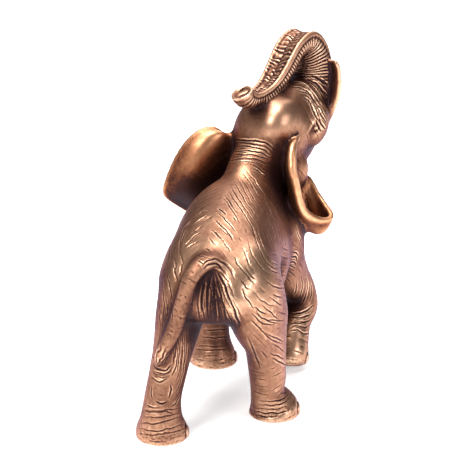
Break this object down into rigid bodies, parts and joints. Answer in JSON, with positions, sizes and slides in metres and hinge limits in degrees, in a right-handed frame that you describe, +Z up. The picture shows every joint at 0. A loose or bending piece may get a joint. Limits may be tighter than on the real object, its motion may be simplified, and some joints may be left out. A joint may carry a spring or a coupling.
{
  "type": "elephant figurine",
  "caption": "Walking elephant figurine in antique copper-bronze finish, head thrown back, trunk curled up over the forehead, ears spread, standing on its own feet.",
  "frame": {"origin": "on the surface it stands on, at the centre of the figure's bounding box seen from above", "axes": "+Z up through the body; the elephant walks towards +Y and its right side is +X; the head is turned about 22 degrees to its right"},
  "size_m": [0.1025, 0.1893, 0.204],
  "materials": {
    "antique_bronze": "antique copper-bronze: semi-gloss metallic, rubbed pale on raised folds and rims, near-black brown patina in the carved wrinkles"
  },
  "bodies": {
    "root": {"elephant": "antique_bronze"}
  },
  "joints": []
}
